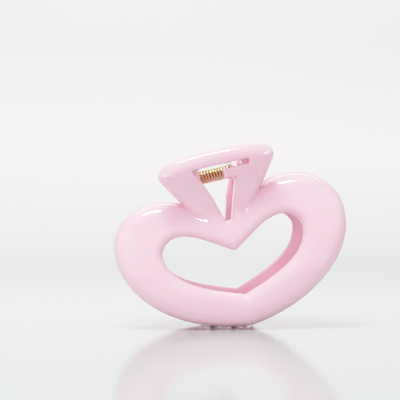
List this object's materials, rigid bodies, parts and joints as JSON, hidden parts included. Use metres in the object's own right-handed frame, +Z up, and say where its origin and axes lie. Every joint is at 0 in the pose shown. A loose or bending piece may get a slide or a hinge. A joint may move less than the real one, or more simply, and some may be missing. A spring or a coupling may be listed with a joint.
{
  "type": "hair claw clip",
  "caption": "Closed spring claw clip whose two jaws are open hearts, each with a pierced thumb lever, interlocking teeth and a coil spring on the hinge.",
  "frame": {"origin": "middle of the bottom of the bounding box, on the surface that the closed clip rests on with its teeth down", "axes": "+X along the width of the hearts, to the right as seen from the front half; +Y from the front half to the back half; +Z up. The clip rests rolled 13 degrees about Y towards its -X side, so the hinge runs along (cos 13, 0, sin 13)"},
  "size_m": [0.0782, 0.0428, 0.0625],
  "materials": {
    "pink_plastic": "polished, slightly milky, moulded in one colour",
    "spring_wire": "bright gold-coloured plated wire",
    "pin_steel": "bright gold-coloured plated steel"
  },
  "bodies": {
    "back_jaw": {"back_half": "pink_plastic", "hinge_pin": "pin_steel", "torsion_spring": "spring_wire"},
    "front_jaw": {"front_half": "pink_plastic"}
  },
  "joints": [
    {"name": "jaw_hinge", "type": "hinge", "parent": "back_jaw", "child": "front_jaw", "pos_m": [-0.00451, 0, 0.05189], "axis": [0.9744, 0, 0.225], "range_deg": [-45, 0], "stiffness_Nm_per_rad": 0.12, "springref_deg": 34.38, "deforming": ["torsion_spring"]}
  ]
}
